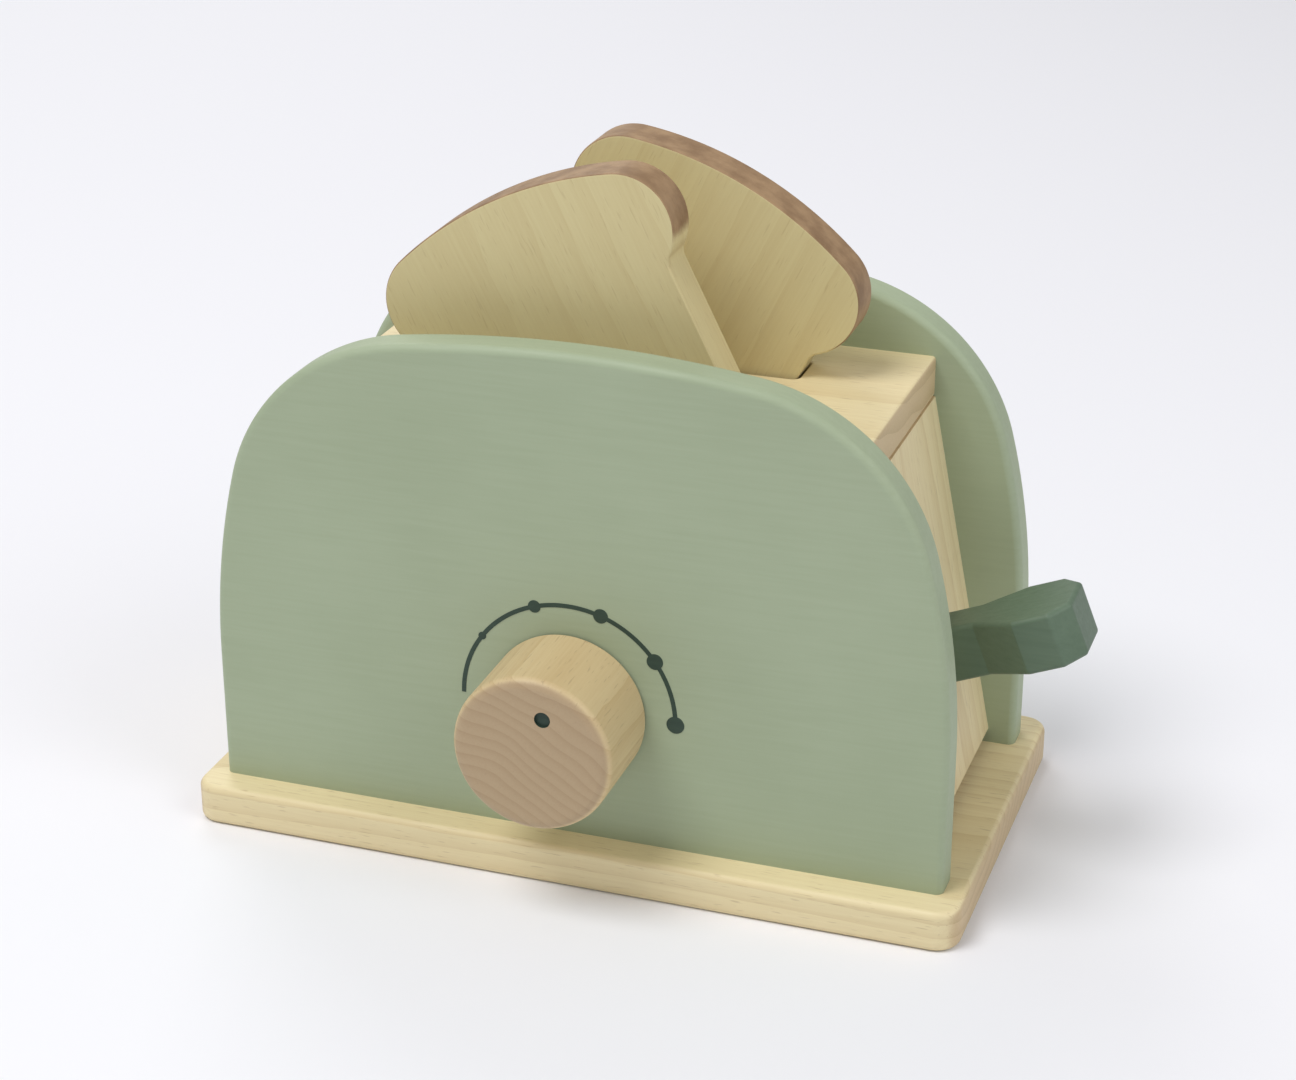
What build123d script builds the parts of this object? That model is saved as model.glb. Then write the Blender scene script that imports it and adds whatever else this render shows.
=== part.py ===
from build123d import *
from math import acos, atan2, cos, degrees, hypot, radians, sin, tan
import os

# Wooden toy toaster with a see-saw lever, a dial knob and two slices of toast.
# Millimetres. The origin is the centre of the base board's underside.
# +X points to the lever end, -Y to the dial side, +Z up.

# ---------------------------------------------------------------- outer sizes
overall_length = 175.0  # free end of the base board to the tip of the lever
overall_depth = 100.0  # rear edge of the base board to the face of the knob
overall_height = 109.0  # ground to the crown of the panels, without the toast

# ---------------------------------------------------------------- base board
base_length = 160.0
base_depth = 86.0
base_thickness = 8.5
base_corner_radius = 5.0
base_edge_round = 1.4

# ------------------------------------- arched panels, front and rear of the body
panel_width = 151.0
panel_thickness = 8.0
panel_inset = 7.0  # ledge of base board left outside each panel
panel_straight_height = 36.0  # the sides are upright up to here
panel_shoulder_width = 122.0  # where side arc and crown would meet, before rounding
panel_shoulder_height = 101.7
panel_shoulder_radius = 42.0
panel_edge_round = 1.6

# ------------------------------------------------ top board with the toast slots
top_board_length = 110.4
top_board_thickness = 8.5
top_board_height = 93.0  # its upper face
top_board_edge_round = 0.8
slot_length = 65.4
slot_width = 11.0
slot_corner_radius = 1.5
slot_edge_round = 0.5
slot_offset = 12.0  # from the middle of the body to the middle of a slot

# ------------------------------------------------------------ sloping end walls
wall_thickness = 8.0
wall_slope = 11.3  # degrees from upright, foot outwards
wall_top_reach = 55.4  # outer face at the top board's underside
wall_foot_gap = 2.5  # open line between wall and base board
wall_edge_round = 0.8
lever_slot_side_gap = 1.5
lever_slot_top = 56.0
lever_slot_corner_radius = 1.5
lever_stop_gap = 0.5  # left under the neck when the lever is pressed

# ------------------------------------------------------------- see-saw lever
lever_rest_angle = 22.0  # degrees, outer end raised
lever_travel = 22.0  # degrees pressed down
lever_thickness = 11.4
lever_neck_width = 10.0
lever_tail = 47.0  # pivot to the end that lies on the base board
lever_edge_round = 1.0
paddle_length = 20.5
paddle_width = 18.5
paddle_flare = 9.0
paddle_corner_length = 4.0
paddle_corner_depth = 4.0
pivot_x = 38.0
pivot_pin_radius = 2.5
pivot_seat_depth = 5.0
spacer_radius = 4.5

# ------------------------- post on the lever, and the dowel under the toast
post_distance = 28.5  # pivot to post, along the lever
post_height = 30.4  # lever's middle to the dowel's middle
post_width = 14.0
toast_dowel_radius = 4.5
toast_dowel_overhang = 3.0  # past the outer face of each slice

# ------------------------------------------------------------- slices of toast
toast_width = 54.0
toast_height = 78.0
toast_thickness = 9.5
toast_lobe_width = 63.5
toast_lobe_height = 63.7  # where the slice is widest
toast_lobe_radius = 11.0
toast_waist_round = 3.0
toast_foot_round = 5.0
toast_edge_chamfer = 0.5

# --------------------------------------------------------------------- dial knob
knob_height = 36.0  # middle of the knob above the ground
knob_radius = 16.0
knob_face_round = 1.2
knob_back_chamfer = 0.5
pointer_angle = 72.0  # degrees from +X towards up
pointer_distance = 8.6
pointer_radius = 1.6
pointer_depth = 0.6
spindle_radius = 4.0
spindle_seat_depth = 14.0
spindle_tail = 0.5  # sticks out past the retaining disc
retainer_radius = 8.5
retainer_thickness = 4.0
retainer_edge_chamfer = 0.5

# ------------------------------------------------------- dowels and wood screws
joint_dowel_radius = 2.5
joint_dowel_panel_depth = 5.0
joint_dowel_board_depth = 11.0
lower_wall_dowel_height = 24.0
upper_wall_dowel_height = 72.0
top_dowel_reach = 42.0
dowel_chamfer = 0.5
screw_shank_radius = 1.75
screw_head_radius = 3.4
screw_head_angle = 82.0
screw_tip_radius = 0.4
screw_tip_length = 3.0
screw_recess_length = 3.6
screw_recess_width = 0.9
screw_recess_depth = 1.2
base_screw_length = 26.0
base_screw_reach = 52.0
post_screw_length = 22.0

# ------------------------------------------------------------------- clearances
seat_gap = 0.3  # a resting or turning piece off its seat
running_gap = 0.06  # radial, a shaft that turns in its hole
glue_gap = 0.04  # radial, a dowel or screw that stays in its hole
hole_end_gap = 0.5  # past the end of a dowel or screw

# --------------------------------------------------------------- derived places
panel_outer = base_depth / 2 - panel_inset
panel_inner = panel_outer - panel_thickness
panel_middle = (panel_outer + panel_inner) / 2
top_board_underside = top_board_height - top_board_thickness
top_board_middle = top_board_height - top_board_thickness / 2
wall_foot_height = base_thickness + wall_foot_gap
wall_run = wall_thickness / cos(radians(wall_slope))  # thickness along X


def wall_outer(height):
    """Reach of an end wall's outer face at a height."""
    return wall_top_reach + (top_board_underside - height) * tan(radians(wall_slope))


# The raised lever's tail lies on the base board, which sets the pivot's height.
rest = radians(lever_rest_angle)
tail_drop = (
    (lever_tail - lever_edge_round) * sin(rest)
    + (lever_thickness / 2 - lever_edge_round) * cos(rest)
    + lever_edge_round
)
pivot_z = base_thickness + seat_gap + tail_drop

# The lower corner of the raised lever's tip is the end of the overall length.
tip_corner = (lever_thickness / 2 - lever_edge_round) * sin(rest) + lever_edge_round
tip_x = overall_length - base_length / 2
lever_reach = (tip_x - pivot_x - tip_corner) / cos(rest) + lever_edge_round

# X runs along the lever to its tip and Y to the rear panel.
lever_plan = Plane(
    origin=(pivot_x, 0, pivot_z),
    x_dir=(cos(rest), 0, sin(rest)),
    z_dir=(-sin(rest), 0, cos(rest)),
)
# X runs along the lever and Y square to it, upwards.
lever_side = Plane(
    origin=(pivot_x, 0, pivot_z),
    x_dir=(cos(rest), 0, sin(rest)),
    z_dir=(0, -1, 0),
)
toast_dowel_centre = lever_side.from_local_coords(Vector(-post_distance, post_height, 0))

# The pressed lever's neck stops just above the lower end of its slot.
pressed = radians(lever_rest_angle - lever_travel)
lever_slot_bottom = (
    pivot_z
    + (wall_outer(pivot_z) - pivot_x) * tan(pressed)
    - lever_thickness / 2 / cos(pressed)
    - lever_stop_gap
)

# A slice leans until its sides all but touch both ends of its slot.
lean_reach = slot_length / 2 - seat_gap
toast_lean = degrees(
    acos(toast_width / 2 / hypot(lean_reach, top_board_thickness / 2))
    - atan2(top_board_thickness / 2, lean_reach)
)

wall_dowel_heights = (lower_wall_dowel_height, upper_wall_dowel_height)
left_dowel_points = [
    (wall_run / 2 - wall_outer(height), height) for height in wall_dowel_heights
]
right_dowel_points = [
    (wall_outer(height) - wall_run / 2, height) for height in wall_dowel_heights
]
top_dowel_points = [(side * top_dowel_reach, top_board_middle) for side in (-1, 1)]
screw_columns = (-base_screw_reach, base_screw_reach)

os.makedirs("parts", exist_ok=True)


def save(piece, name):
    piece.part.label = name
    export_step(piece.part, f"parts/{name}.step")


def upright_plane(y):
    """Plane across the body at y, with X to the lever end, Y up, facing forwards."""
    return Plane.XZ.offset(-y)


def bore(plane, points, radius, depth):
    """Drill round holes into the piece in hand; a negative depth drills backwards."""
    with BuildSketch(plane) as holes:
        with Locations(*points):
            Circle(radius)
    extrude(holes.sketch, amount=depth, mode=Mode.SUBTRACT)


# ==================================================================== base board
with BuildPart() as base_board:
    with BuildSketch(Plane.XY):
        RectangleRounded(base_length, base_depth, base_corner_radius)
    extrude(amount=base_thickness)
    rims = base_board.edges().group_by(Axis.Z)
    fillet(rims[0] + rims[-1], base_edge_round)
    with Locations(-Plane.XY):
        with Locations(*[(x, y) for x in screw_columns for y in (-panel_middle, panel_middle)]):
            CounterSinkHole(
                screw_shank_radius + glue_gap,
                screw_head_radius + glue_gap,
                counter_sink_angle=screw_head_angle,
            )
save(base_board, "base_board")


# ================================================================= arched panels
def panel_board(side):
    """An arched board with blind holes for dowels, pivot pin and base screws."""
    half = panel_width / 2
    shoulder_x = panel_shoulder_width / 2
    with BuildSketch(upright_plane(max(side * panel_inner, side * panel_outer))) as arch:
        with BuildLine():
            foot = Line((-half, base_thickness), (half, base_thickness))
            right = Line(foot @ 1, (half, panel_straight_height))
            flank = TangentArc(right @ 1, (shoulder_x, panel_shoulder_height), tangent=(0, 1))
            ThreePointArc(
                flank @ 1,
                (0, overall_height),
                (-shoulder_x, panel_shoulder_height),
            )
            mirror(flank, about=Plane.YZ)
            Line((-half, panel_straight_height), foot @ 0)
        make_face()
        fillet(vertices().group_by(Axis.Y)[-1], panel_shoulder_radius)
    extrude(arch.sketch, amount=panel_thickness)
    for face in (faces().sort_by(Axis.Y)[0], faces().sort_by(Axis.Y)[-1]):
        fillet(face.edges().sort_by(Axis.Z)[1:], panel_edge_round)
    bore(
        upright_plane(side * panel_inner),
        left_dowel_points + right_dowel_points + top_dowel_points,
        joint_dowel_radius + glue_gap,
        -side * (joint_dowel_panel_depth + hole_end_gap),
    )
    bore(
        upright_plane(side * panel_inner),
        [(pivot_x, pivot_z)],
        pivot_pin_radius + glue_gap,
        -side * (pivot_seat_depth + hole_end_gap),
    )
    bore(
        Plane.XY.offset(base_thickness),
        [(x, side * panel_middle) for x in screw_columns],
        screw_shank_radius + glue_gap,
        base_screw_length - base_thickness + hole_end_gap,
    )


with BuildPart() as front_panel:
    panel_board(-1)
    bore(
        upright_plane(-panel_inner),
        [(0, knob_height)],
        spindle_radius + running_gap,
        panel_thickness,
    )
save(front_panel, "front_panel")

with BuildPart() as rear_panel:
    panel_board(1)
save(rear_panel, "rear_panel")


# ==================================================================== top board
def board_dowel_holes(points):
    """Blind holes in both ends of a board that stands between the panels."""
    for side in (-1, 1):
        bore(
            upright_plane(side * panel_inner),
            points,
            joint_dowel_radius + glue_gap,
            side * (joint_dowel_board_depth + hole_end_gap),
        )


with BuildPart() as top_board:
    with BuildSketch(Plane.XY.offset(top_board_underside)):
        Rectangle(top_board_length, 2 * panel_inner)
        with Locations((0, -slot_offset), (0, slot_offset)):
            RectangleRounded(slot_length, slot_width, slot_corner_radius, mode=Mode.SUBTRACT)
    extrude(amount=top_board_thickness)
    upper_face = top_board.faces().sort_by(Axis.Z)[-1]
    fillet([edge for rim in upper_face.inner_wires() for edge in rim.edges()], slot_edge_round)
    ends = top_board.edges().filter_by(Axis.Y).group_by(Axis.X)
    fillet(ends[0] + ends[-1], top_board_edge_round)
    board_dowel_holes(top_dowel_points)
save(top_board, "top_board")


# ==================================================================== end walls
def sloping_wall(side):
    """A board that slopes outwards from the top board's underside."""
    foot_reach = wall_outer(wall_foot_height)
    corners = [
        (side * wall_top_reach, top_board_underside),
        (side * foot_reach, wall_foot_height),
        (side * (foot_reach - wall_run), wall_foot_height),
        (side * (wall_top_reach - wall_run), top_board_underside),
    ]
    with BuildSketch(upright_plane(0)) as section:
        with BuildLine():
            Polyline(*corners, close=True)
        make_face()
    extrude(section.sketch, amount=panel_inner, both=True)
    fillet(edges().filter_by(Axis.Y).group_by(Axis.Z)[0], wall_edge_round)


with BuildPart() as left_end_wall:
    sloping_wall(-1)
    board_dowel_holes(left_dowel_points)
save(left_end_wall, "left_end_wall")

with BuildPart() as right_end_wall:
    sloping_wall(1)
    board_dowel_holes(right_dowel_points)
    with BuildSketch(Plane.YZ.offset(pivot_x)):
        with Locations((0, (lever_slot_top + lever_slot_bottom) / 2)):
            RectangleRounded(
                lever_neck_width + 2 * lever_slot_side_gap,
                lever_slot_top - lever_slot_bottom,
                lever_slot_corner_radius,
            )
    extrude(amount=wall_outer(wall_foot_height) - pivot_x, mode=Mode.SUBTRACT)
save(right_end_wall, "right_end_wall")

# ================================================================ see-saw lever
# The underside of the lever below the post, facing up into the wood.
post_screw_seat = Plane(
    origin=lever_side.from_local_coords(Vector(-post_distance, -lever_thickness / 2, 0)),
    x_dir=lever_plan.x_dir,
    z_dir=lever_plan.z_dir,
)

with BuildPart() as lever:
    neck_end = lever_reach - paddle_length
    corner = lever_reach - paddle_corner_length
    with BuildSketch(lever_plan):
        with BuildLine():
            edge = Polyline(
                (-lever_tail, 0),
                (-lever_tail, lever_neck_width / 2),
                (neck_end, lever_neck_width / 2),
                (neck_end + paddle_flare, paddle_width / 2),
                (corner, paddle_width / 2),
                (lever_reach, paddle_width / 2 - paddle_corner_depth),
                (lever_reach, 0),
            )
            mirror(edge, about=Plane.XZ)
        make_face()
    extrude(amount=lever_thickness / 2, both=True)
    fillet(lever.edges(), lever_edge_round)
    with BuildSketch(lever_side):
        Circle(pivot_pin_radius + running_gap)
    extrude(amount=lever_neck_width, both=True, mode=Mode.SUBTRACT)
    with Locations(-post_screw_seat):
        CounterSinkHole(
            screw_shank_radius + glue_gap,
            screw_head_radius + glue_gap,
            counter_sink_angle=screw_head_angle,
        )
save(lever, "lever")

with BuildPart() as lever_pivot_pin:
    with BuildSketch(upright_plane(0)):
        with Locations((pivot_x, pivot_z)):
            Circle(pivot_pin_radius)
    extrude(amount=panel_inner + pivot_seat_depth, both=True)
    chamfer(lever_pivot_pin.edges().filter_by(GeomType.CIRCLE), dowel_chamfer)
save(lever_pivot_pin, "lever_pivot_pin")


def pivot_spacer(side):
    """Tube round the pivot pin that keeps the lever midway between the panels."""
    with BuildSketch(upright_plane(side * panel_inner)) as ring:
        with Locations((pivot_x, pivot_z)):
            Circle(spacer_radius)
            Circle(pivot_pin_radius + glue_gap, mode=Mode.SUBTRACT)
    extrude(ring.sketch, amount=side * (panel_inner - lever_neck_width / 2 - seat_gap))


with BuildPart() as pivot_spacer_front:
    pivot_spacer(-1)
save(pivot_spacer_front, "pivot_spacer_front")

with BuildPart() as pivot_spacer_rear:
    pivot_spacer(1)
save(pivot_spacer_rear, "pivot_spacer_rear")

# ========================================================= post and toast dowel
with BuildPart() as toast_post:
    with BuildSketch(lever_side):
        with Locations((-post_distance, post_height)):
            Circle(post_width / 2)
        with Locations((-post_distance, lever_thickness / 2)):
            Rectangle(
                post_width,
                post_height - lever_thickness / 2,
                align=(Align.CENTER, Align.MIN),
            )
        with Locations((-post_distance, post_height)):
            Circle(toast_dowel_radius + glue_gap, mode=Mode.SUBTRACT)
    extrude(amount=lever_neck_width / 2, both=True)
    bore(
        post_screw_seat,
        [(0, 0)],
        screw_shank_radius + glue_gap,
        post_screw_length + hole_end_gap,
    )
save(toast_post, "toast_post")

with BuildPart() as toast_rest_dowel:
    with BuildSketch(lever_side):
        with Locations((-post_distance, post_height)):
            Circle(toast_dowel_radius)
    extrude(amount=slot_offset + toast_thickness / 2 + toast_dowel_overhang, both=True)
    chamfer(toast_rest_dowel.edges().filter_by(GeomType.CIRCLE), dowel_chamfer)
save(toast_rest_dowel, "toast_rest_dowel")


# ============================================================== slices of toast
def toast_slice(lean, y):
    """A slice that stands on the dowel and leans in its slot, top towards -X.

    Its centre line crosses the middle of the slot.
    """
    along = Vector(cos(radians(lean)), 0, sin(radians(lean)))
    up = Vector(-sin(radians(lean)), 0, cos(radians(lean)))
    crossing = Vector(0, 0, top_board_middle)
    foot_lift = toast_dowel_centre.dot(up) + toast_dowel_radius + seat_gap
    foot = along * crossing.dot(along) + up * foot_lift
    plane = Plane(origin=(foot.X, y, foot.Z), x_dir=along, z_dir=(0, -1, 0))

    # The crown is one arc that runs smoothly into the arcs of both lobes.
    lobe_x = toast_lobe_width / 2 - toast_lobe_radius
    rise = toast_height - toast_lobe_height - toast_lobe_radius
    reach = (lobe_x**2 + rise**2) / (2 * rise)  # crown radius less lobe radius
    turn = atan2(lobe_x, reach - rise)
    crown_end = (
        lobe_x + toast_lobe_radius * sin(turn),
        toast_lobe_height + toast_lobe_radius * cos(turn),
    )
    half = toast_width / 2
    waist = toast_lobe_height - (toast_lobe_radius**2 - (half - lobe_x) ** 2) ** 0.5
    with BuildSketch(plane) as outline:
        with BuildLine():
            ThreePointArc((-crown_end[0], crown_end[1]), (0, toast_height), crown_end)
            lobe = ThreePointArc(
                crown_end,
                (toast_lobe_width / 2, toast_lobe_height),
                (half, waist),
            )
            side = Line(lobe @ 1, (half, 0))
            mirror(lobe, about=Plane.YZ)
            mirror(side, about=Plane.YZ)
            Line(side @ 1, (-half, 0))
        make_face()
        levels = vertices().group_by(Axis.Y)
        fillet(levels[0], toast_foot_round)
        fillet(levels[1], toast_waist_round)
    extrude(outline.sketch, amount=toast_thickness / 2, both=True)
    rims = edges().group_by(Axis.Y)
    chamfer(rims[0] + rims[-1], toast_edge_chamfer)


with BuildPart() as toast_slice_front:
    toast_slice(toast_lean, -slot_offset)
save(toast_slice_front, "toast_slice_front")

with BuildPart() as toast_slice_rear:
    toast_slice(-toast_lean, slot_offset)
save(toast_slice_rear, "toast_slice_rear")

# ==================================================================== dial knob
knob_face = base_depth / 2 - overall_depth
knob_back = -panel_outer - seat_gap

with BuildPart() as knob:
    with BuildSketch(upright_plane(knob_back)):
        with Locations((0, knob_height)):
            Circle(knob_radius)
    extrude(amount=knob_back - knob_face)
    fillet(knob.edges().group_by(Axis.Y)[0], knob_face_round)
    chamfer(knob.edges().group_by(Axis.Y)[-1], knob_back_chamfer)
    bore(
        upright_plane(knob_back),
        [(0, knob_height)],
        spindle_radius + glue_gap,
        spindle_seat_depth + hole_end_gap,
    )
    with BuildSketch(upright_plane(knob_face)):
        with Locations((0, knob_height)):
            with PolarLocations(pointer_distance, 1, start_angle=pointer_angle):
                Circle(pointer_radius)
    extrude(amount=-pointer_depth, mode=Mode.SUBTRACT)
save(knob, "knob")

retainer_outer = -panel_inner + seat_gap
spindle_inner = retainer_outer + retainer_thickness + spindle_tail

with BuildPart() as knob_spindle:
    with BuildSketch(upright_plane(spindle_inner)):
        with Locations((0, knob_height)):
            Circle(spindle_radius)
    extrude(amount=spindle_inner - knob_back + spindle_seat_depth)
    chamfer(knob_spindle.edges().filter_by(GeomType.CIRCLE), dowel_chamfer)
save(knob_spindle, "knob_spindle")

with BuildPart() as knob_retainer:
    with BuildSketch(upright_plane(retainer_outer)):
        with Locations((0, knob_height)):
            Circle(retainer_radius)
            Circle(spindle_radius + glue_gap, mode=Mode.SUBTRACT)
    extrude(amount=-retainer_thickness)
    outer_rims = knob_retainer.edges().filter_by(GeomType.CIRCLE).group_by(SortBy.RADIUS)[-1]
    chamfer(outer_rims, retainer_edge_chamfer)
save(knob_retainer, "knob_retainer")


# ================================================================ dowels, screws
def joint_dowels(points):
    """Dowels that run from both panels into a board between them."""
    for side in (-1, 1):
        with BuildSketch(upright_plane(side * (panel_inner - joint_dowel_board_depth))) as ends:
            with Locations(*points):
                Circle(joint_dowel_radius)
        extrude(ends.sketch, amount=-side * (joint_dowel_board_depth + joint_dowel_panel_depth))
    chamfer(edges().filter_by(GeomType.CIRCLE), dowel_chamfer)


with BuildPart() as wall_dowels:
    joint_dowels(left_dowel_points + right_dowel_points)
save(wall_dowels, "wall_dowels")

with BuildPart() as top_dowels:
    joint_dowels(top_dowel_points)
save(top_dowels, "top_dowels")


def wood_screw(length):
    """A countersunk wood screw, point up, with its head at the origin."""
    head_depth = (screw_head_radius - screw_shank_radius) / tan(radians(screw_head_angle / 2))
    with BuildSketch(Plane.XZ) as half_section:
        with BuildLine():
            Polyline(
                (0, 0),
                (screw_head_radius, 0),
                (screw_shank_radius, head_depth),
                (screw_shank_radius, length - screw_tip_length),
                (screw_tip_radius, length),
                (0, length),
                close=True,
            )
        make_face()
    revolve(half_section.sketch, axis=Axis.Z)
    with BuildSketch(Plane.XY) as recess:
        Rectangle(screw_recess_length, screw_recess_width)
        Rectangle(screw_recess_width, screw_recess_length)
    extrude(recess.sketch, amount=screw_recess_depth, mode=Mode.SUBTRACT)


with BuildPart() as short_screw:
    wood_screw(post_screw_length)

with BuildPart() as toast_post_screw:
    with Locations(post_screw_seat):
        add(short_screw.part)
save(toast_post_screw, "toast_post_screw")

with BuildPart() as long_screw:
    wood_screw(base_screw_length)

with BuildPart() as base_screws:
    with Locations(*[(x, y, 0) for x in screw_columns for y in (-panel_middle, panel_middle)]):
        add(long_screw.part)
save(base_screws, "base_screws")
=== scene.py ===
import math

import bmesh
import bpy
from mathutils import Matrix, Vector


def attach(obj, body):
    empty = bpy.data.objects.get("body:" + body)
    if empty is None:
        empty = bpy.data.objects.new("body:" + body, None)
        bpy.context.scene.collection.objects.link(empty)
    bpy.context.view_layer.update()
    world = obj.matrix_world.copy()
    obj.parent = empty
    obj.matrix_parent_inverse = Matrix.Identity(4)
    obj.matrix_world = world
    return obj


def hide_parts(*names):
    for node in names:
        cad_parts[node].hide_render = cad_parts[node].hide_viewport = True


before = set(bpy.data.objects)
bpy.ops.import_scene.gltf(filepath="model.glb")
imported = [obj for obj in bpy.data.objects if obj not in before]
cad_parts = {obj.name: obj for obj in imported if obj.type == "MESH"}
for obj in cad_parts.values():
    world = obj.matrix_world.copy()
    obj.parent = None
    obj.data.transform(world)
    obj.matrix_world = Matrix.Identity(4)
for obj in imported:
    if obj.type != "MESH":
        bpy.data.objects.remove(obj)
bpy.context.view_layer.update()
scene = bpy.context.scene
mm = 0.001
print("frame loaded:", len(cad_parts), "nodes")


# camera: a little to the lever side of the dial, looking down on the slots
cameraView = {
    "aim": Vector((0.006, -0.006, 0.060)),
    "azimuth": 19.0,  # degrees from straight in front, towards the lever
    "elevation": 24.0,
    "distance": 0.560,
    "lens": 78.0,
    "nearest": 0.01,
    "farthest": 20,
}


def makeCamera(look):
    azimuth = math.radians(look["azimuth"])
    elevation = math.radians(look["elevation"])
    back = Vector((
        math.sin(azimuth) * math.cos(elevation),
        -math.cos(azimuth) * math.cos(elevation),
        math.sin(elevation),
    ))
    data = bpy.data.cameras.new("camera")
    data.lens = look["lens"]
    data.clip_start, data.clip_end = look["nearest"], look["farthest"]
    camera = bpy.data.objects.new("camera", data)
    camera.location = look["aim"] + back * look["distance"]
    camera.rotation_euler = (-back).to_track_quat("-Z", "Y").to_euler()
    scene.collection.objects.link(camera)
    scene.camera = camera


makeCamera(cameraView)
print("camera placed")


# node helpers: each socket takes a value or the output of another node
def addNode(tree, kind, sockets, **settings):
    made = tree.nodes.new(kind)
    for name, value in settings.items():
        setattr(made, name, value)
    for socket, value in sockets.items():
        if isinstance(value, bpy.types.NodeSocket):
            tree.links.new(value, made.inputs[socket])
        else:
            made.inputs[socket].default_value = value
    return made


def calculate(tree, operation, first, second=0.0, third=0.0, clamp=False):
    sockets = {0: first, 1: second, 2: third}
    made = addNode(tree, "ShaderNodeMath", sockets, operation=operation, use_clamp=clamp)
    return made.outputs[0]


def vectorMath(tree, operation, sockets):
    return addNode(tree, "ShaderNodeVectorMath", sockets, operation=operation).outputs[0]


def mapped(tree, vector, sockets, kind="POINT"):
    sockets = {"Vector": vector, **sockets}
    return addNode(tree, "ShaderNodeMapping", sockets, vector_type=kind).outputs[0]


def mixColours(tree, factor, first, second):
    sockets = {0: factor, 6: first, 7: second}
    return addNode(tree, "ShaderNodeMix", sockets, data_type="RGBA").outputs[2]


def remap(tree, value, span, newLow=0.0, newHigh=1.0):
    sockets = {0: value, 1: span[0], 2: span[1], 3: newLow, 4: newHigh}
    made = addNode(tree, "ShaderNodeMapRange", sockets, interpolation_type="SMOOTHSTEP")
    return made.outputs[0]


def noise(tree, vector, settings, output="Fac"):
    scale, detail, roughness = settings
    sockets = {"Vector": vector, "Scale": scale, "Detail": detail, "Roughness": roughness}
    return addNode(tree, "ShaderNodeTexNoise", sockets).outputs[output]


def newMaterial(name, roughness):
    material = bpy.data.materials.new(name)
    material.use_nodes = True
    tree = material.node_tree
    shader = tree.nodes["Principled BSDF"]
    shader.inputs["Roughness"].default_value = roughness
    return material, tree, shader


def colour(red, green, blue):
    # display values from 0 to 255 to the linear values that Blender mixes
    def linear(value):
        value /= 255
        return value / 12.92 if value <= 0.04045 else ((value + 0.055) / 1.055) ** 2.4

    return (linear(red), linear(green), linear(blue), 1.0)


# solid wood: rings round a pith line, so faces, edges and ends belong together
paleWood = {
    "early": colour(234, 219, 176),
    "late": colour(216, 195, 148),
    "end": colour(207, 181, 143),
    "pore": colour(180, 154, 112),
    "pores": 0.40,  # how strongly the pores show
    "turn": (0, 0, 0),  # degrees, brings the grain to X
    "pith": (0, 31 * mm, -46 * mm),
    "ring": 3.4 * mm,
    "contrast": 0.55,
    "roughness": 0.52,
    "spread": 0.06,  # of the roughness, up and down
    "depth": 0.02 * mm,
    "oil": 0.10,  # a thin clear coat
    "oilRoughness": 0.45,
    "seed": 0.0,
}
grain = {
    # noises are scale per metre, detail and roughness
    "stretch": 0.12,  # rings and patches change this much slower along the grain
    "wander": (28, 2, 0.5),
    "bend": 0.014,
    "ringScale": 0.314,  # metres, a wave texture's ring at a scale of 1
    "distortion": 1.2,
    "ringDetail": 2.0,
    "ringDetailScale": 0.6,
    "lateness": 2.4,  # higher makes the dark end of each ring thinner
    "fibreStretch": 0.035,
    "fibres": (1500, 3, 0.6),
    "streaks": 0.8,
    "poreStretch": 0.10,
    "pores": (2600, 1, 0.4),
    "poreSpan": (0.64, 0.76),
    "patches": (16, 2, 0.5),
    "patchShare": 0.5,
    "lighten": 0.10,
    "endSpan": (0.55, 0.9),  # how far a surface faces along the grain
    "endDots": (2400, 2, 0.6),
    "endRings": 0.55,
    "endStrength": 0.8,
}
surface = {
    "textureSpan": (0.2, 0.8),
    "bump": 0.6,
}


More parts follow.
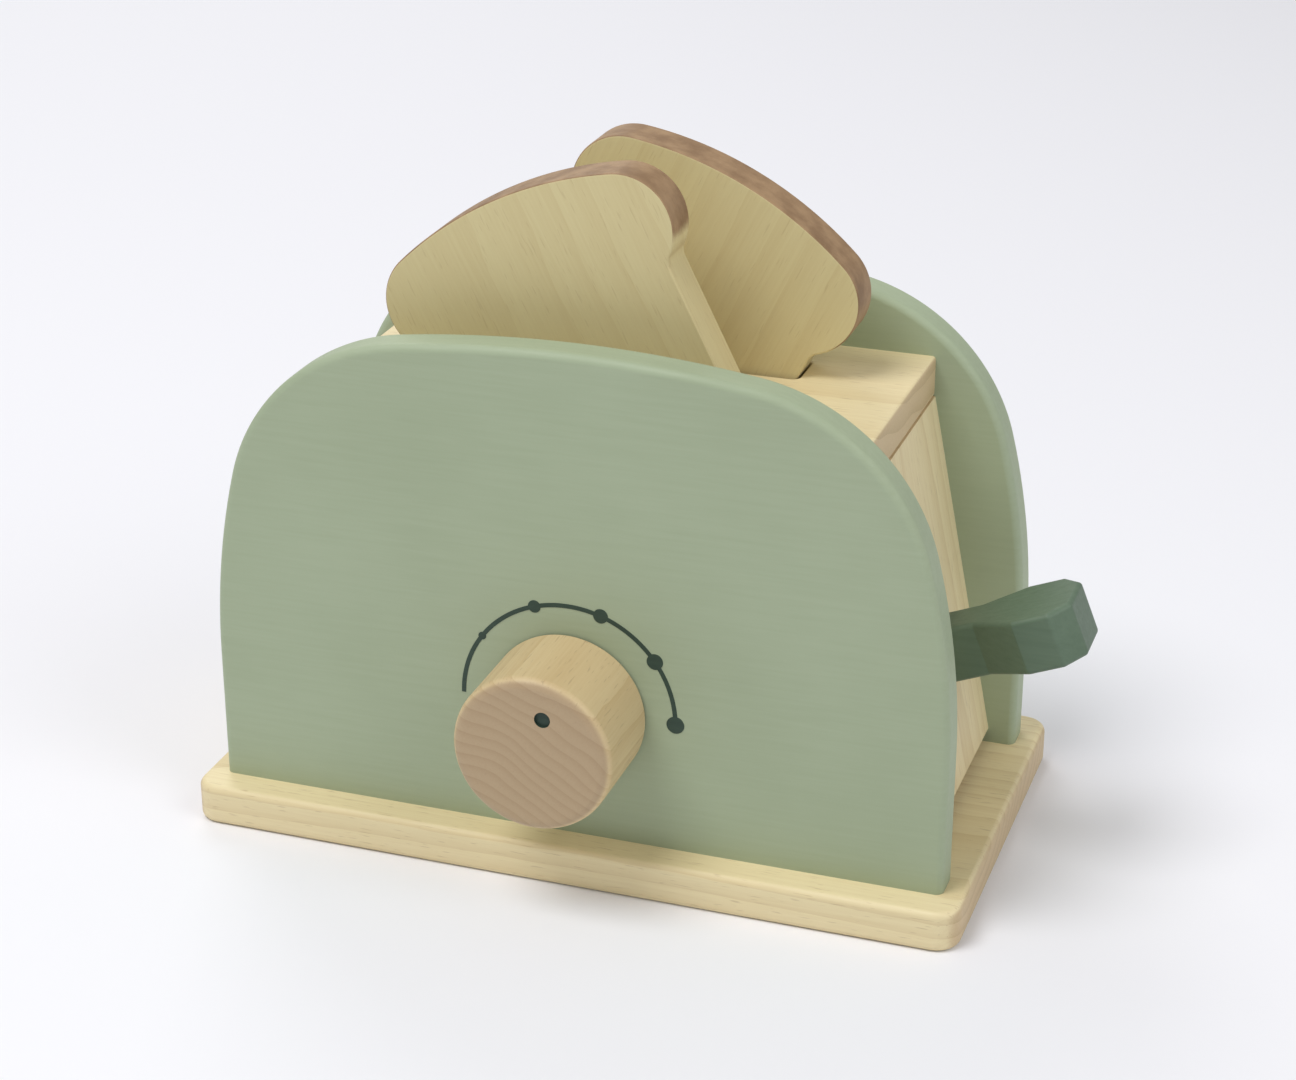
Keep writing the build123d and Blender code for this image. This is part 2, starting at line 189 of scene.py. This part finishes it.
def woodColour(tree, look):
    # returns the colour, and the fibres for roughness and bump
    turn = [math.radians(angle) for angle in look["turn"]]
    place = addNode(tree, "ShaderNodeTexCoord", {})
    turned = mapped(tree, place.outputs["Object"], {"Rotation": turn})
    moved = mapped(tree, turned, {"Location": look["pith"]})
    stretch = {"Scale": (grain["stretch"], 1, 1), "Location": (look["seed"], 0, 0)}
    drawn = mapped(tree, moved, stretch)

    # growth rings of uneven width, bent by a slow wander along the board
    wander = noise(tree, drawn, grain["wander"], "Color")
    bend = vectorMath(tree, "SUBTRACT", {0: wander, 1: (0.5, 0.5, 0.5)})
    bend = vectorMath(tree, "SCALE", {0: bend, "Scale": grain["bend"]})
    bent = vectorMath(tree, "ADD", {0: moved, 1: bend})
    rings = addNode(
        tree,
        "ShaderNodeTexWave",
        {
            "Vector": bent,
            "Scale": grain["ringScale"] / look["ring"],
            "Distortion": grain["distortion"],
            "Detail": grain["ringDetail"],
            "Detail Scale": grain["ringDetailScale"],
        },
        wave_type="RINGS",
        rings_direction="X",
        wave_profile="SAW",
    ).outputs["Fac"]
    lateWood = calculate(tree, "POWER", rings, grain["lateness"])

    # fibres and short pores along the grain
    fibreSpace = mapped(tree, moved, {"Scale": (grain["fibreStretch"], 1, 1)})
    fibres = noise(tree, fibreSpace, grain["fibres"])
    poreSpace = mapped(tree, moved, {"Scale": (grain["poreStretch"], 1, 1)})
    pores = remap(tree, noise(tree, poreSpace, grain["pores"]), grain["poreSpan"])
    patches = noise(tree, drawn, grain["patches"])

    streaks = grain["streaks"]
    share = calculate(tree, "MULTIPLY_ADD", fibres, streaks, -streaks / 2)
    share = calculate(tree, "MULTIPLY_ADD", lateWood, look["contrast"], share)
    share = calculate(tree, "MULTIPLY_ADD", patches, grain["patchShare"], share)
    share = calculate(tree, "ADD", share, -grain["lighten"], clamp=True)
    base = mixColours(tree, share, look["early"], look["late"])
    dark = calculate(tree, "MULTIPLY", pores, look["pores"])
    base = mixColours(tree, dark, base, look["pore"])

    # cut ends are darker and show dots instead of streaks
    facing = mapped(tree, place.outputs["Normal"], {"Rotation": turn}, "NORMAL")
    along = addNode(tree, "ShaderNodeSeparateXYZ", {0: facing}).outputs[0]
    endGrain = remap(tree, calculate(tree, "ABSOLUTE", along), grain["endSpan"])
    dots = noise(tree, place.outputs["Object"], grain["endDots"])
    dots = calculate(tree, "MULTIPLY", dots, 1 - grain["endRings"])
    endShare = calculate(tree, "MULTIPLY_ADD", lateWood, grain["endRings"], dots)
    ends = mixColours(tree, endShare, look["end"], look["pore"])
    cut = calculate(tree, "MULTIPLY", endGrain, grain["endStrength"])
    return mixColours(tree, cut, base, ends), fibres


def finishSurface(tree, shader, base, texture, look):
    tree.links.new(base, shader.inputs["Base Color"])
    smoothest = look["roughness"] - look["spread"]
    roughest = look["roughness"] + look["spread"]
    rough = remap(tree, texture, surface["textureSpan"], smoothest, roughest)
    tree.links.new(rough, shader.inputs["Roughness"])
    sockets = {"Height": texture, "Strength": surface["bump"], "Distance": look["depth"]}
    bump = addNode(tree, "ShaderNodeBump", sockets)
    tree.links.new(bump.outputs[0], shader.inputs["Normal"])


def makeWood(name, **changes):
    look = {**paleWood, **changes}
    material, tree, shader = newMaterial(name, look["roughness"])
    shader.inputs["Coat Weight"].default_value = look["oil"]
    shader.inputs["Coat Roughness"].default_value = look["oilRoughness"]
    base, fibres = woodColour(tree, look)
    finishSurface(tree, shader, base, fibres, look)
    return material


# paint: a thin matt coat, so a trace of the fibres shows through it
sagePaint = {
    "coat": colour(167, 180, 151),
    "deep": colour(158, 171, 141),
    "fibre": 0.4,  # the fibres' share in the texture, the rest is the coat's own
    "roughness": 0.56,
}
leverPaint = {
    "coat": colour(99, 120, 99),
    "deep": colour(84, 105, 84),
    "fibre": 0.4,
    "roughness": 0.48,
}
dialInk = {
    "coat": colour(48, 70, 58),
    "deep": colour(38, 58, 48),
    "fibre": 0.5,
    "roughness": 0.60,
}
paintCoat = {
    "fibreStretch": 0.05,
    "fibres": (1000, 3, 0.55),
    "peel": (1600, 2, 0.5),
    "clouds": (22, 3, 0.5),
    "cloudSpan": (0.25, 0.75),
    "spread": 0.05,
    "depth": 0.03 * mm,
}


def makePaint(name, look):
    look = {**paintCoat, **look}
    material, tree, shader = newMaterial(name, look["roughness"])
    place = addNode(tree, "ShaderNodeTexCoord", {}).outputs["Object"]
    fibreSpace = mapped(tree, place, {"Scale": (look["fibreStretch"], 1, 1)})
    fibres = noise(tree, fibreSpace, look["fibres"])
    peel = noise(tree, place, look["peel"])
    clouds = noise(tree, place, look["clouds"])
    own = 1 - look["fibre"]
    fibrePart = calculate(tree, "MULTIPLY", fibres, look["fibre"])
    texture = calculate(tree, "MULTIPLY_ADD", peel, own, fibrePart)
    share = calculate(tree, "MULTIPLY_ADD", clouds, own, fibrePart)
    share = remap(tree, share, look["cloudSpan"])
    base = mixColours(tree, share, look["coat"], look["deep"])
    finishSurface(tree, shader, base, texture, look)
    return material


# zinc plated steel of the wood screws, brushed by the thread rolling
zincSteel = {
    "bright": colour(206, 206, 202),
    "dull": colour(160, 162, 160),
    "clouds": (420, 4, 0.6),
    "scratches": (2600, 2, 0.6),
    "roughness": 0.36,
    "spread": 0.08,
    "depth": 0.01 * mm,
}


def makeSteel(name, look):
    material, tree, shader = newMaterial(name, look["roughness"])
    shader.inputs["Metallic"].default_value = 1
    place = addNode(tree, "ShaderNodeTexCoord", {}).outputs["Object"]
    clouds = noise(tree, place, look["clouds"])
    scratches = noise(tree, place, look["scratches"])
    base = mixColours(tree, clouds, look["bright"], look["dull"])
    finishSurface(tree, shader, base, scratches, look)
    return material


# materials of this toy
walls = {
    "slope": 11.3,  # degrees, they lean inwards at the top
    "leftGrain": 88,  # degrees from the base to the grain on an upright wall
    "rightGrain": 91.5,
}
boardWood = makeWood("boardWood")
topWood = makeWood("topWood", pith=(0, -18 * mm, -160 * mm), ring=5.0 * mm, seed=3.0)
leftWallWood = makeWood(
    "leftWallWood",
    turn=(0, walls["leftGrain"] - walls["slope"], 0),
    pith=(0, 12 * mm, -68 * mm),
    ring=4.2 * mm,
    seed=6.0,
)
rightWallWood = makeWood(
    "rightWallWood",
    turn=(0, walls["rightGrain"] + walls["slope"], 0),
    pith=(0, -9 * mm, 64 * mm),
    ring=4.2 * mm,
    seed=8.0,
)
knobWood = makeWood(
    "knobWood",
    early=colour(212, 190, 147),
    late=colour(196, 169, 124),
    end=colour(176, 152, 122),
    pore=colour(159, 133, 103),
    turn=(0, 0, 90),
    pith=(0, 14 * mm, -4 * mm),
    ring=2.2 * mm,
)
dowelWood = makeWood("dowelWood", turn=(0, 0, 90), pith=(0, 9 * mm, -4 * mm), ring=2.0 * mm)
sage = makePaint("sagePaint", sagePaint)
darkGreen = makePaint("leverPaint", leverPaint)
printInk = makePaint("dialInk", dialInk)
steel = makeSteel("zincSteel", zincSteel)
print("wood, paint and steel mixed")


# what every piece ends with: its place, and smooth shading over its rounds
shading = {
    "sharp": 28,  # degrees between faces, from which an edge stays sharp
    "weight": 90,
}


def addPiece(name, mesh, body, node=None):
    piece = bpy.data.objects.new(name, mesh)
    scene.collection.objects.link(piece)
    if node:
        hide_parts(node)
    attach(piece, body)
    return piece


def shadeRounds(piece):
    piece.data.shade_smooth()
    piece.data.set_sharp_from_angle(angle=math.radians(shading["sharp"]))
    weighted = piece.modifiers.new("weightedNormal", "WEIGHTED_NORMAL")
    weighted.keep_sharp = True
    weighted.weight = shading["weight"]


# boards, walls and lever: merged copies of the CAD solids
boards = {
    "baseBoard": ("base_board", "toaster", "pale_wood", boardWood),
    "topBoard": ("top_board", "toaster", "pale_wood", topWood),
    "leftEndWall": ("left_end_wall", "toaster", "pale_wood", leftWallWood),
    "rightEndWall": ("right_end_wall", "toaster", "pale_wood", rightWallWood),
    "leverBar": ("lever", "lever", "dark_green_paint", darkGreen),
    "toastPost": ("toast_post", "lever", "dark_green_paint", darkGreen),
}
hiddenPieces = {
    "lever_pivot_pin": dowelWood,
    "pivot_spacer_front": dowelWood,
    "pivot_spacer_rear": dowelWood,
    "toast_rest_dowel": dowelWood,
    "knob_spindle": dowelWood,
    "knob_retainer": dowelWood,
    "wall_dowels": dowelWood,
    "top_dowels": dowelWood,
    "base_screws": steel,
    "toast_post_screw": steel,
}
merging = {
    "distance": 0.002 * mm,
    "flat": 0.2,  # degrees, less than this between faces counts as flat
}


def makeBoard(name, node, body, slot, material):
    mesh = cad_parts[node].data.copy()
    mesh.name = name
    mesh.materials[0] = material
    merged = bmesh.new()
    merged.from_mesh(mesh)
    bmesh.ops.remove_doubles(merged, verts=merged.verts, dist=merging["distance"])
    bmesh.ops.dissolve_limit(
        merged,
        angle_limit=math.radians(merging["flat"]),
        use_dissolve_boundaries=False,
        verts=merged.verts,
        edges=merged.edges,
    )
    merged.to_mesh(mesh)
    merged.free()
    shadeRounds(addPiece(name, mesh, body, node))


for name, settings in boards.items():
    makeBoard(name, *settings)
for node, material in hiddenPieces.items():
    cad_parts[node].material_slots[0].material = material
print("boards dressed")


# shaping helpers, for outlines that stand upright and are drawn back along Y
def newVerts(made):
    return [part for part in made if isinstance(part, bmesh.types.BMVert)]


def lineTo(shape, tip, across, height):
    made = bmesh.ops.extrude_vert_indiv(shape, verts=[tip])["verts"]
    way = Vector((across, 0, height)) - tip.co
    bmesh.ops.translate(shape, verts=made, vec=way)
    return made[0]


def arcTo(shape, tip, middle, angle, step):
    # turns on from the tip about a middle, from X towards Z, angles in degrees
    spun = bmesh.ops.spin(
        shape,
        geom=[tip],
        cent=(middle.x, 0, middle.y),
        axis=(0, -1, 0),
        dvec=(0, 0, 0),
        angle=math.radians(angle),
        steps=math.ceil(abs(angle) / step),
        use_duplicate=False,
    )
    return newVerts(spun["geom_last"])[0]


def angleOf(line):
    return math.degrees(math.atan2(line.y, line.x))


def drawBack(shape, face, depth):
    # the face stays, and a copy of it goes back with sides between the two
    drawn = bmesh.ops.extrude_face_region(shape, geom=[face], use_keep_orig=True)
    bmesh.ops.translate(shape, verts=newVerts(drawn["geom"]), vec=(0, depth, 0))


def roundEdges(shape, edges, size, steps):
    bmesh.ops.bevel(
        shape,
        geom=edges,
        offset=size,
        offset_type="OFFSET",
        affect="EDGES",
        segments=steps,
        profile=0.5,
        material=-1,
    )


def flatFaces(shape):
    # the two largest faces, the front one first
    faces = sorted(shape.faces, key=lambda face: face.calc_area())[-2:]
    return sorted(faces, key=lambda face: face.calc_center_median().y)


def drawSlab(halfOutline, look):
    # halfOutline draws the right half, from the foot to the middle of the crown
    shape = bmesh.new()
    halfOutline(shape, look)
    half = shape.verts[:] + shape.edges[:]
    bmesh.ops.mirror(shape, geom=half, axis="X", merge_dist=merging["distance"])
    foot = sorted(shape.verts, key=lambda vert: vert.co.z)[:2]
    shape.edges.new(foot)
    front = bmesh.ops.edgeloop_fill(shape, edges=shape.edges)["faces"][0]
    drawBack(shape, front, look["thickness"])
    flats = flatFaces(shape)
    rims = [
        edge for edge in shape.edges
        if any(face in flats for face in edge.link_faces)
        and max(vert.co.z for vert in edge.verts) > look["squareBelow"]
    ]
    roundEdges(shape, rims, look["rimRound"], look["rimSteps"])
    return shape


def uprightAt(place):
    return Matrix.Translation(place) @ Matrix.Rotation(math.pi / 2, 4, "X")


def openFace(shape, flat, middle, radius, segments):
    # cuts a round opening into a flat face and returns the edges of its ring
    outer = list(flat.edges)
    bmesh.ops.delete(shape, geom=[flat], context="FACES_ONLY")
    points = bmesh.ops.create_circle(
        shape, cap_ends=False, radius=radius, segments=segments, matrix=uprightAt(middle)
    )["verts"]
    ring = [edge for edge in shape.edges if all(vert in points for vert in edge.verts)]
    bmesh.ops.triangle_fill(shape, edges=outer + ring, use_beauty=True)
    return ring


def meshFrom(name, shape, *materials):
    bmesh.ops.recalc_face_normals(shape, faces=shape.faces)
    mesh = bpy.data.meshes.new(name)
    shape.to_mesh(mesh)
    shape.free()
    for material in materials:
        mesh.materials.append(material)
    return mesh


# arched panels: side arc, round shoulder and crown arc
panelShape = {
    "halfWidth": 75.5 * mm,
    "foot": 8.5 * mm,
    "straight": 36 * mm,  # the sides are upright up to here
    "shoulder": (61 * mm, 101.7 * mm),  # where side and crown would meet
    "shoulderRound": 42 * mm,
    "crown": 109 * mm,
    "arcStep": 1.2,  # degrees
    "thickness": 8 * mm,
    "rimRound": 1.6 * mm,
    "rimSteps": 6,
    "squareBelow": 8.6 * mm,  # the foot keeps its square edges
    "boreHeight": 36 * mm,  # for the knob's spindle
    "boreRadius": 4.06 * mm,
    "boreSegments": 64,
}
panels = {
    "frontPanel": {"node": "front_panel", "front": -36 * mm, "bored": True},
    "rearPanel": {"node": "rear_panel", "front": 28 * mm, "bored": False},
}


def archOutline(shape, look):
    shoulder = Vector(look["shoulder"])
    run, rise = look["halfWidth"] - shoulder.x, shoulder.y - look["straight"]
    sideRadius = (run**2 + rise**2) / (2 * run)
    side = Vector((look["halfWidth"] - sideRadius, look["straight"]))
    drop = look["crown"] - shoulder.y
    crownRadius = (shoulder.x**2 + drop**2) / (2 * drop)
    crown = Vector((0, look["crown"] - crownRadius))

    # the middle of the shoulder's round, which touches both arcs from inside
    between = crown - side
    toSide = sideRadius - look["shoulderRound"]
    toCrown = crownRadius - look["shoulderRound"]
    along = (toSide**2 - toCrown**2 + between.length_squared) / (2 * between.length)
    across = math.sqrt(toSide**2 - along**2)
    way = between.normalized()
    middle = side + way * along + Vector((-way.y, way.x)) * across
    first, last = angleOf(middle - side), angleOf(middle - crown)

    tip = shape.verts.new((look["halfWidth"], 0, look["foot"]))
    tip = lineTo(shape, tip, look["halfWidth"], look["straight"])
    tip = arcTo(shape, tip, side, first, look["arcStep"])
    tip = arcTo(shape, tip, middle, last - first, look["arcStep"])
    arcTo(shape, tip, crown, 90 - last, look["arcStep"])


def makePanel(name, panel, look):
    shape = drawSlab(archOutline, look)
    bmesh.ops.translate(shape, verts=shape.verts, vec=(0, panel["front"], 0))
    if panel["bored"]:
        rings = []
        for flat in flatFaces(shape):
            middle = (0, flat.calc_center_median().y, look["boreHeight"])
            rings += openFace(shape, flat, middle, look["boreRadius"], look["boreSegments"])
        bmesh.ops.bridge_loops(shape, edges=rings)
    mesh = meshFrom(name, shape, sage)
    shadeRounds(addPiece(name, mesh, "toaster", panel["node"]))


for name, panel in panels.items():
    makePanel(name, panel, panelShape)
print("panels arched")


# toast: bare wood, with a brown crust sprayed on the edge over the crown
toastWood = {
    "early": colour(216, 203, 155),
    "late": colour(203, 185, 136),
    "end": colour(190, 168, 124),
    "pore": colour(168, 142, 100),
    "pores": 0.22,
    "contrast": 0.32,
    "ring": 5.5 * mm,
    "roughness": 0.60,
}
crust = {
    "coat": colour(166, 135, 100),
    "deep": colour(136, 106, 74),
    "clouds": (190, 4, 0.6),
    "cloudSpan": (0.3, 0.7),
    "fadeStart": 104.8 * mm,  # height above the ground line, along the slice
    "fadeEnd": 108.8 * mm,
    "faceLimit": 0.85,  # edges turn further than this from the flat faces
    "limits": (-1, 2),  # of the value at a corner: surely bare, surely covered
    "ragged": (700, 3, 0.6),  # breaks up the end of the spray
    "raggedShare": 0.35,
    "coverSpan": (0.2, 0.8),
}
breadShape = {
    "half": 27 * mm,
    "height": 77.99 * mm,  # a hair under the solid's 78 mm, to stay inside its box
    "lobeHalf": 31.75 * mm,
    "lobeHeight": 63.69 * mm,  # where the slice is widest
    "lobeRound": 11 * mm,
    "waistRound": 3 * mm,
    "footRound": 5 * mm,
    "smallStep": 4,  # degrees, for foot and waist
    "lobeStep": 2,
    "crownStep": 1.2,
    "thickness": 9.5 * mm,
    "rimRound": 0.5 * mm,
    "rimSteps": 3,
    "squareBelow": -1 * mm,  # the foot is rounded too
}
slices = {
    "frontToast": {
        "node": "toast_slice_front",
        "body": "front_toast",
        "middle": -12 * mm,
        "lean": 26.811,
        "pith": (0, 60 * mm, 20 * mm),
        "seed": 1.5,
    },
    "rearToast": {
        "node": "toast_slice_rear",
        "body": "rear_toast",
        "middle": 12 * mm,
        "lean": -26.811,
        "pith": (0, -75 * mm, 30 * mm),
        "seed": 4.5,
    },
}


def makeToastWood(name, piece):
    # the grain runs up along the slice
    look = {**paleWood, **toastWood, "turn": (0, 90 + piece["lean"], 0)}
    look.update(pith=piece["pith"], seed=piece["seed"])
    material, tree, shader = newMaterial(name, look["roughness"])
    base, fibres = woodColour(tree, look)
    place = addNode(tree, "ShaderNodeTexCoord", {}).outputs["Object"]
    clouds = remap(tree, noise(tree, place, crust["clouds"]), crust["cloudSpan"])
    brown = mixColours(tree, clouds, crust["coat"], crust["deep"])
    sprayed = addNode(tree, "ShaderNodeAttribute", {}, attribute_name="crust").outputs["Fac"]
    sprayed = calculate(tree, "ADD", sprayed, -crust["raggedShare"] / 2)
    ragged = noise(tree, place, crust["ragged"])
    cover = calculate(tree, "MULTIPLY_ADD", ragged, crust["raggedShare"], sprayed)
    cover = remap(tree, cover, crust["coverSpan"])
    finishSurface(tree, shader, mixColours(tree, cover, base, brown), fibres, look)
    return material


def breadOutline(shape, look):
    # foot round, waist hollow, lobe and crown, each touching the next
    foot = Vector((look["half"] - look["footRound"], look["footRound"]))
    lobe = Vector((look["lobeHalf"] - look["lobeRound"], look["lobeHeight"]))
    rise = look["height"] - lobe.y - look["lobeRound"]
    reach = (lobe.x**2 + rise**2) / (2 * rise)
    crown = Vector((0, look["height"] - look["lobeRound"] - reach))
    waist = Vector((look["half"] + look["waistRound"], 0))
    apart = look["lobeRound"] + look["waistRound"]
    waist.y = lobe.y - math.sqrt(apart**2 - (waist.x - lobe.x) ** 2)
    hollow, top = angleOf(waist - lobe), angleOf(lobe - crown)

    tip = shape.verts.new((foot.x, 0, 0))
    tip = arcTo(shape, tip, foot, 90, look["smallStep"])
    tip = lineTo(shape, tip, look["half"], waist.y)
    tip = arcTo(shape, tip, waist, hollow, look["smallStep"])
    tip = arcTo(shape, tip, lobe, top - hollow, look["lobeStep"])
    arcTo(shape, tip, crown, 90 - top, look["crownStep"])


def sprayCrust(mesh, up):
    # a value at each face corner: 0 where the brown starts to show, 1 where it covers
    cover = mesh.attributes.new("crust", "FLOAT", "CORNER")
    bare, covered = crust["limits"]
    for face in mesh.polygons:
        onEdge = abs(face.normal.y) < crust["faceLimit"]
        for loop in face.loop_indices:
            height = mesh.vertices[mesh.loops[loop].vertex_index].co.dot(up)
            share = (height - crust["fadeStart"]) / (crust["fadeEnd"] - crust["fadeStart"])
            cover.data[loop].value = min(max(share, bare), covered) if onEdge else bare


def makeToast(name, piece, look):
    lean = math.radians(piece["lean"])
    along = Vector((math.cos(lean), 0, math.sin(lean)))
    up = Vector((-math.sin(lean), 0, math.cos(lean)))

    # the solid's own reach along both directions says where this slice stands
    corners = [vert.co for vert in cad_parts[piece["node"]].data.vertices]
    sideways = [corner.dot(along) for corner in corners]
    foot = along * (min(sideways) + max(sideways)) / 2
    foot += up * min(corner.dot(up) for corner in corners)
    foot.y = piece["middle"] - look["thickness"] / 2
    leaning = Matrix((along, (0, 1, 0), up)).transposed().to_4x4()

    shape = drawSlab(breadOutline, look)
    place = Matrix.Translation(foot) @ leaning
    bmesh.ops.transform(shape, matrix=place, verts=shape.verts)
    mesh = meshFrom(name, shape, makeToastWood(name + "Wood", piece))
    sprayCrust(mesh, up)
    shadeRounds(addPiece(name, mesh, piece["body"], piece["node"]))


for name, piece in slices.items():
    makeToast(name, piece, breadShape)
print("toast sprayed")


# knob: turned from a thick dowel, with a small inked hollow as its pointer
knobShape = {
    "axis": 36 * mm,  # its middle above the ground
    "face": -57 * mm,
    "back": -36.3 * mm,
    "radius": 16 * mm,
    "segments": 128,
    "faceRound": 2.1 * mm,
    "faceSteps": 10,
    "backRound": 0.5 * mm,
    "backSteps": 3,
    "rimFound": 0.01 * mm,  # how near to face or back an edge counts as its rim
    "faceInset": 0.3 * mm,
    "pointerAngle": 72,  # degrees from the lever end towards up
    "pointerReach": 8.6 * mm,
    "pointerRadius": 1.6 * mm,
    "pointerSegments": 32,
    "pointerDepth": 0.6 * mm,
    "inkMargin": 0.1 * mm,
}


def rimAt(shape, place, near):
    return [
        edge for edge in shape.edges
        if all(abs(vert.co.y - place) < near for vert in edge.verts)
    ]


def makeKnob(look):
    # the turned body: a disc drawn back to its full length, then its rims rounded
    shape = bmesh.new()
    centre = Vector((0, look["face"], look["axis"]))
    made = bmesh.ops.create_circle(
        shape,
        cap_ends=True,
        radius=look["radius"],
        segments=look["segments"],
        matrix=uprightAt(centre),
    )
    drawBack(shape, made["verts"][0].link_faces[0], look["back"] - look["face"])
    for end in ("face", "back"):
        rim = rimAt(shape, look[end], look["rimFound"])
        roundEdges(shape, rim, look[end + "Round"], look[end + "Steps"])

    # the face is opened for the pointer's hollow, which is sunk and closed again
    flat = min(shape.faces, key=lambda face: face.calc_center_median().y)
    bmesh.ops.inset_individual(shape, faces=[flat], thickness=look["faceInset"])
    turn = math.radians(look["pointerAngle"])
    middle = centre + Vector((math.cos(turn), 0, math.sin(turn))) * look["pointerReach"]
    ring = openFace(shape, flat, middle, look["pointerRadius"], look["pointerSegments"])
    sides = bmesh.ops.extrude_edge_only(shape, edges=ring)["geom"]
    sunk = newVerts(sides)
    bmesh.ops.translate(shape, verts=sunk, vec=(0, look["pointerDepth"], 0))
    edges = [part for part in sides if isinstance(part, bmesh.types.BMEdge)]
    floorRing = [edge for edge in edges if all(vert in sunk for vert in edge.verts)]
    bmesh.ops.contextual_create(shape, geom=floorRing)

    mesh = meshFrom("dialKnob", shape, knobWood, printInk)
    inked = look["pointerRadius"] + look["inkMargin"]
    for face in mesh.polygons:
        offset = face.center - middle
        below = look["inkMargin"] < offset.y < look["pointerDepth"] + look["inkMargin"]
        if below and math.hypot(offset.x, offset.z) < inked:
            face.material_index = 1
    shadeRounds(addPiece("dialKnob", mesh, "knob", "knob"))


makeKnob(knobShape)
print("knob turned")


# dial print on the front panel: a line round the knob and five growing dots
dialPrint = {
    "axis": 36 * mm,
    "panelFace": -36 * mm,
    "radius": 21.9 * mm,
    "line": 0.9 * mm,
    "lineSteps": 72,
    "sunk": 0.05 * mm,
    "lineProud": 0.06 * mm,
    "dotProud": 0.07 * mm,
    "dotSegments": 40,
    # degrees from the lever end, and each dot's radius
    "dots": {144: 0.8 * mm, 108: 1.3 * mm, 72: 1.5 * mm, 36: 1.65 * mm, 0: 1.8 * mm},
}


def makeDialLine(look):
    # a small upright section at the left end, spun over the top of the knob
    shape = bmesh.new()
    front = look["panelFace"] - look["lineProud"]
    back = look["panelFace"] + look["sunk"]
    inside = look["radius"] - look["line"] / 2
    outside = look["radius"] + look["line"] / 2
    corners = [(-inside, front), (-outside, front), (-outside, back), (-inside, back)]
    section = shape.faces.new([shape.verts.new((x, y, look["axis"])) for x, y in corners])
    bmesh.ops.spin(
        shape,
        geom=[section, *section.edges, *section.verts],
        cent=(0, 0, look["axis"]),
        axis=(0, 1, 0),
        dvec=(0, 0, 0),
        angle=math.pi,
        steps=look["lineSteps"],
        use_duplicate=False,
    )
    addPiece("dialLine", meshFrom("dialLine", shape, printInk), "toaster")


def makeDialDots(look):
    shape = bmesh.new()
    for angle, radius in look["dots"].items():
        turn = math.radians(angle)
        reach = Vector((math.cos(turn), 0, math.sin(turn))) * look["radius"]
        middle = reach + Vector((0, look["panelFace"] + look["sunk"], look["axis"]))
        made = bmesh.ops.create_circle(
            shape,
            cap_ends=True,
            radius=radius,
            segments=look["dotSegments"],
            matrix=uprightAt(middle),
        )
        drawBack(shape, made["verts"][0].link_faces[0], -look["sunk"] - look["dotProud"])
    addPiece("dialDots", meshFrom("dialDots", shape, printInk), "toaster")


makeDialLine(dialPrint)
makeDialDots(dialPrint)
print("dial printed")


# floor and light
studio = {
    "floor": colour(240, 240, 245),
    "floorReach": 4,
    "floorRoughness": 0.9,
    "aim": Vector((0, 0, 0.06)),
    "world": (1, 1, 1, 1),
    "worldStrength": 0.42,
}
lamps = {
    "keyLight": {"place": (-0.45, -0.55, 1.40), "size": 0.8, "power": 12.5},
    "fillLight": {"place": (0.95, -0.30, 0.85), "size": 0.8, "power": 3.6},
    "backLight": {"place": (-0.70, 1.00, 0.95), "size": 0.8, "power": 4.5},
}


def makeFloor(look):
    shape = bmesh.new()
    bmesh.ops.create_grid(shape, x_segments=1, y_segments=1, size=look["floorReach"])
    material, tree, shader = newMaterial("floorPaper", look["floorRoughness"])
    shader.inputs["Base Color"].default_value = look["floor"]
    floor = bpy.data.objects.new("floor", meshFrom("floor", shape, material))
    scene.collection.objects.link(floor)


def makeLamp(name, look):
    data = bpy.data.lights.new(name, "AREA")
    data.shape = "DISK"
    data.size = look["size"]
    data.energy = look["power"]
    lamp = bpy.data.objects.new(name, data)
    lamp.location = look["place"]
    way = studio["aim"] - Vector(look["place"])
    lamp.rotation_euler = way.to_track_quat("-Z", "Y").to_euler()
    scene.collection.objects.link(lamp)


def makeWorld(look):
    world = bpy.data.worlds.new("studio")
    world.use_nodes = True
    background = world.node_tree.nodes["Background"]
    background.inputs[0].default_value = look["world"]
    background.inputs[1].default_value = look["worldStrength"]
    scene.world = world


makeFloor(studio)
for name, look in lamps.items():
    makeLamp(name, look)
makeWorld(studio)
scene.view_settings.view_transform = "Standard"
print("floor and light set")
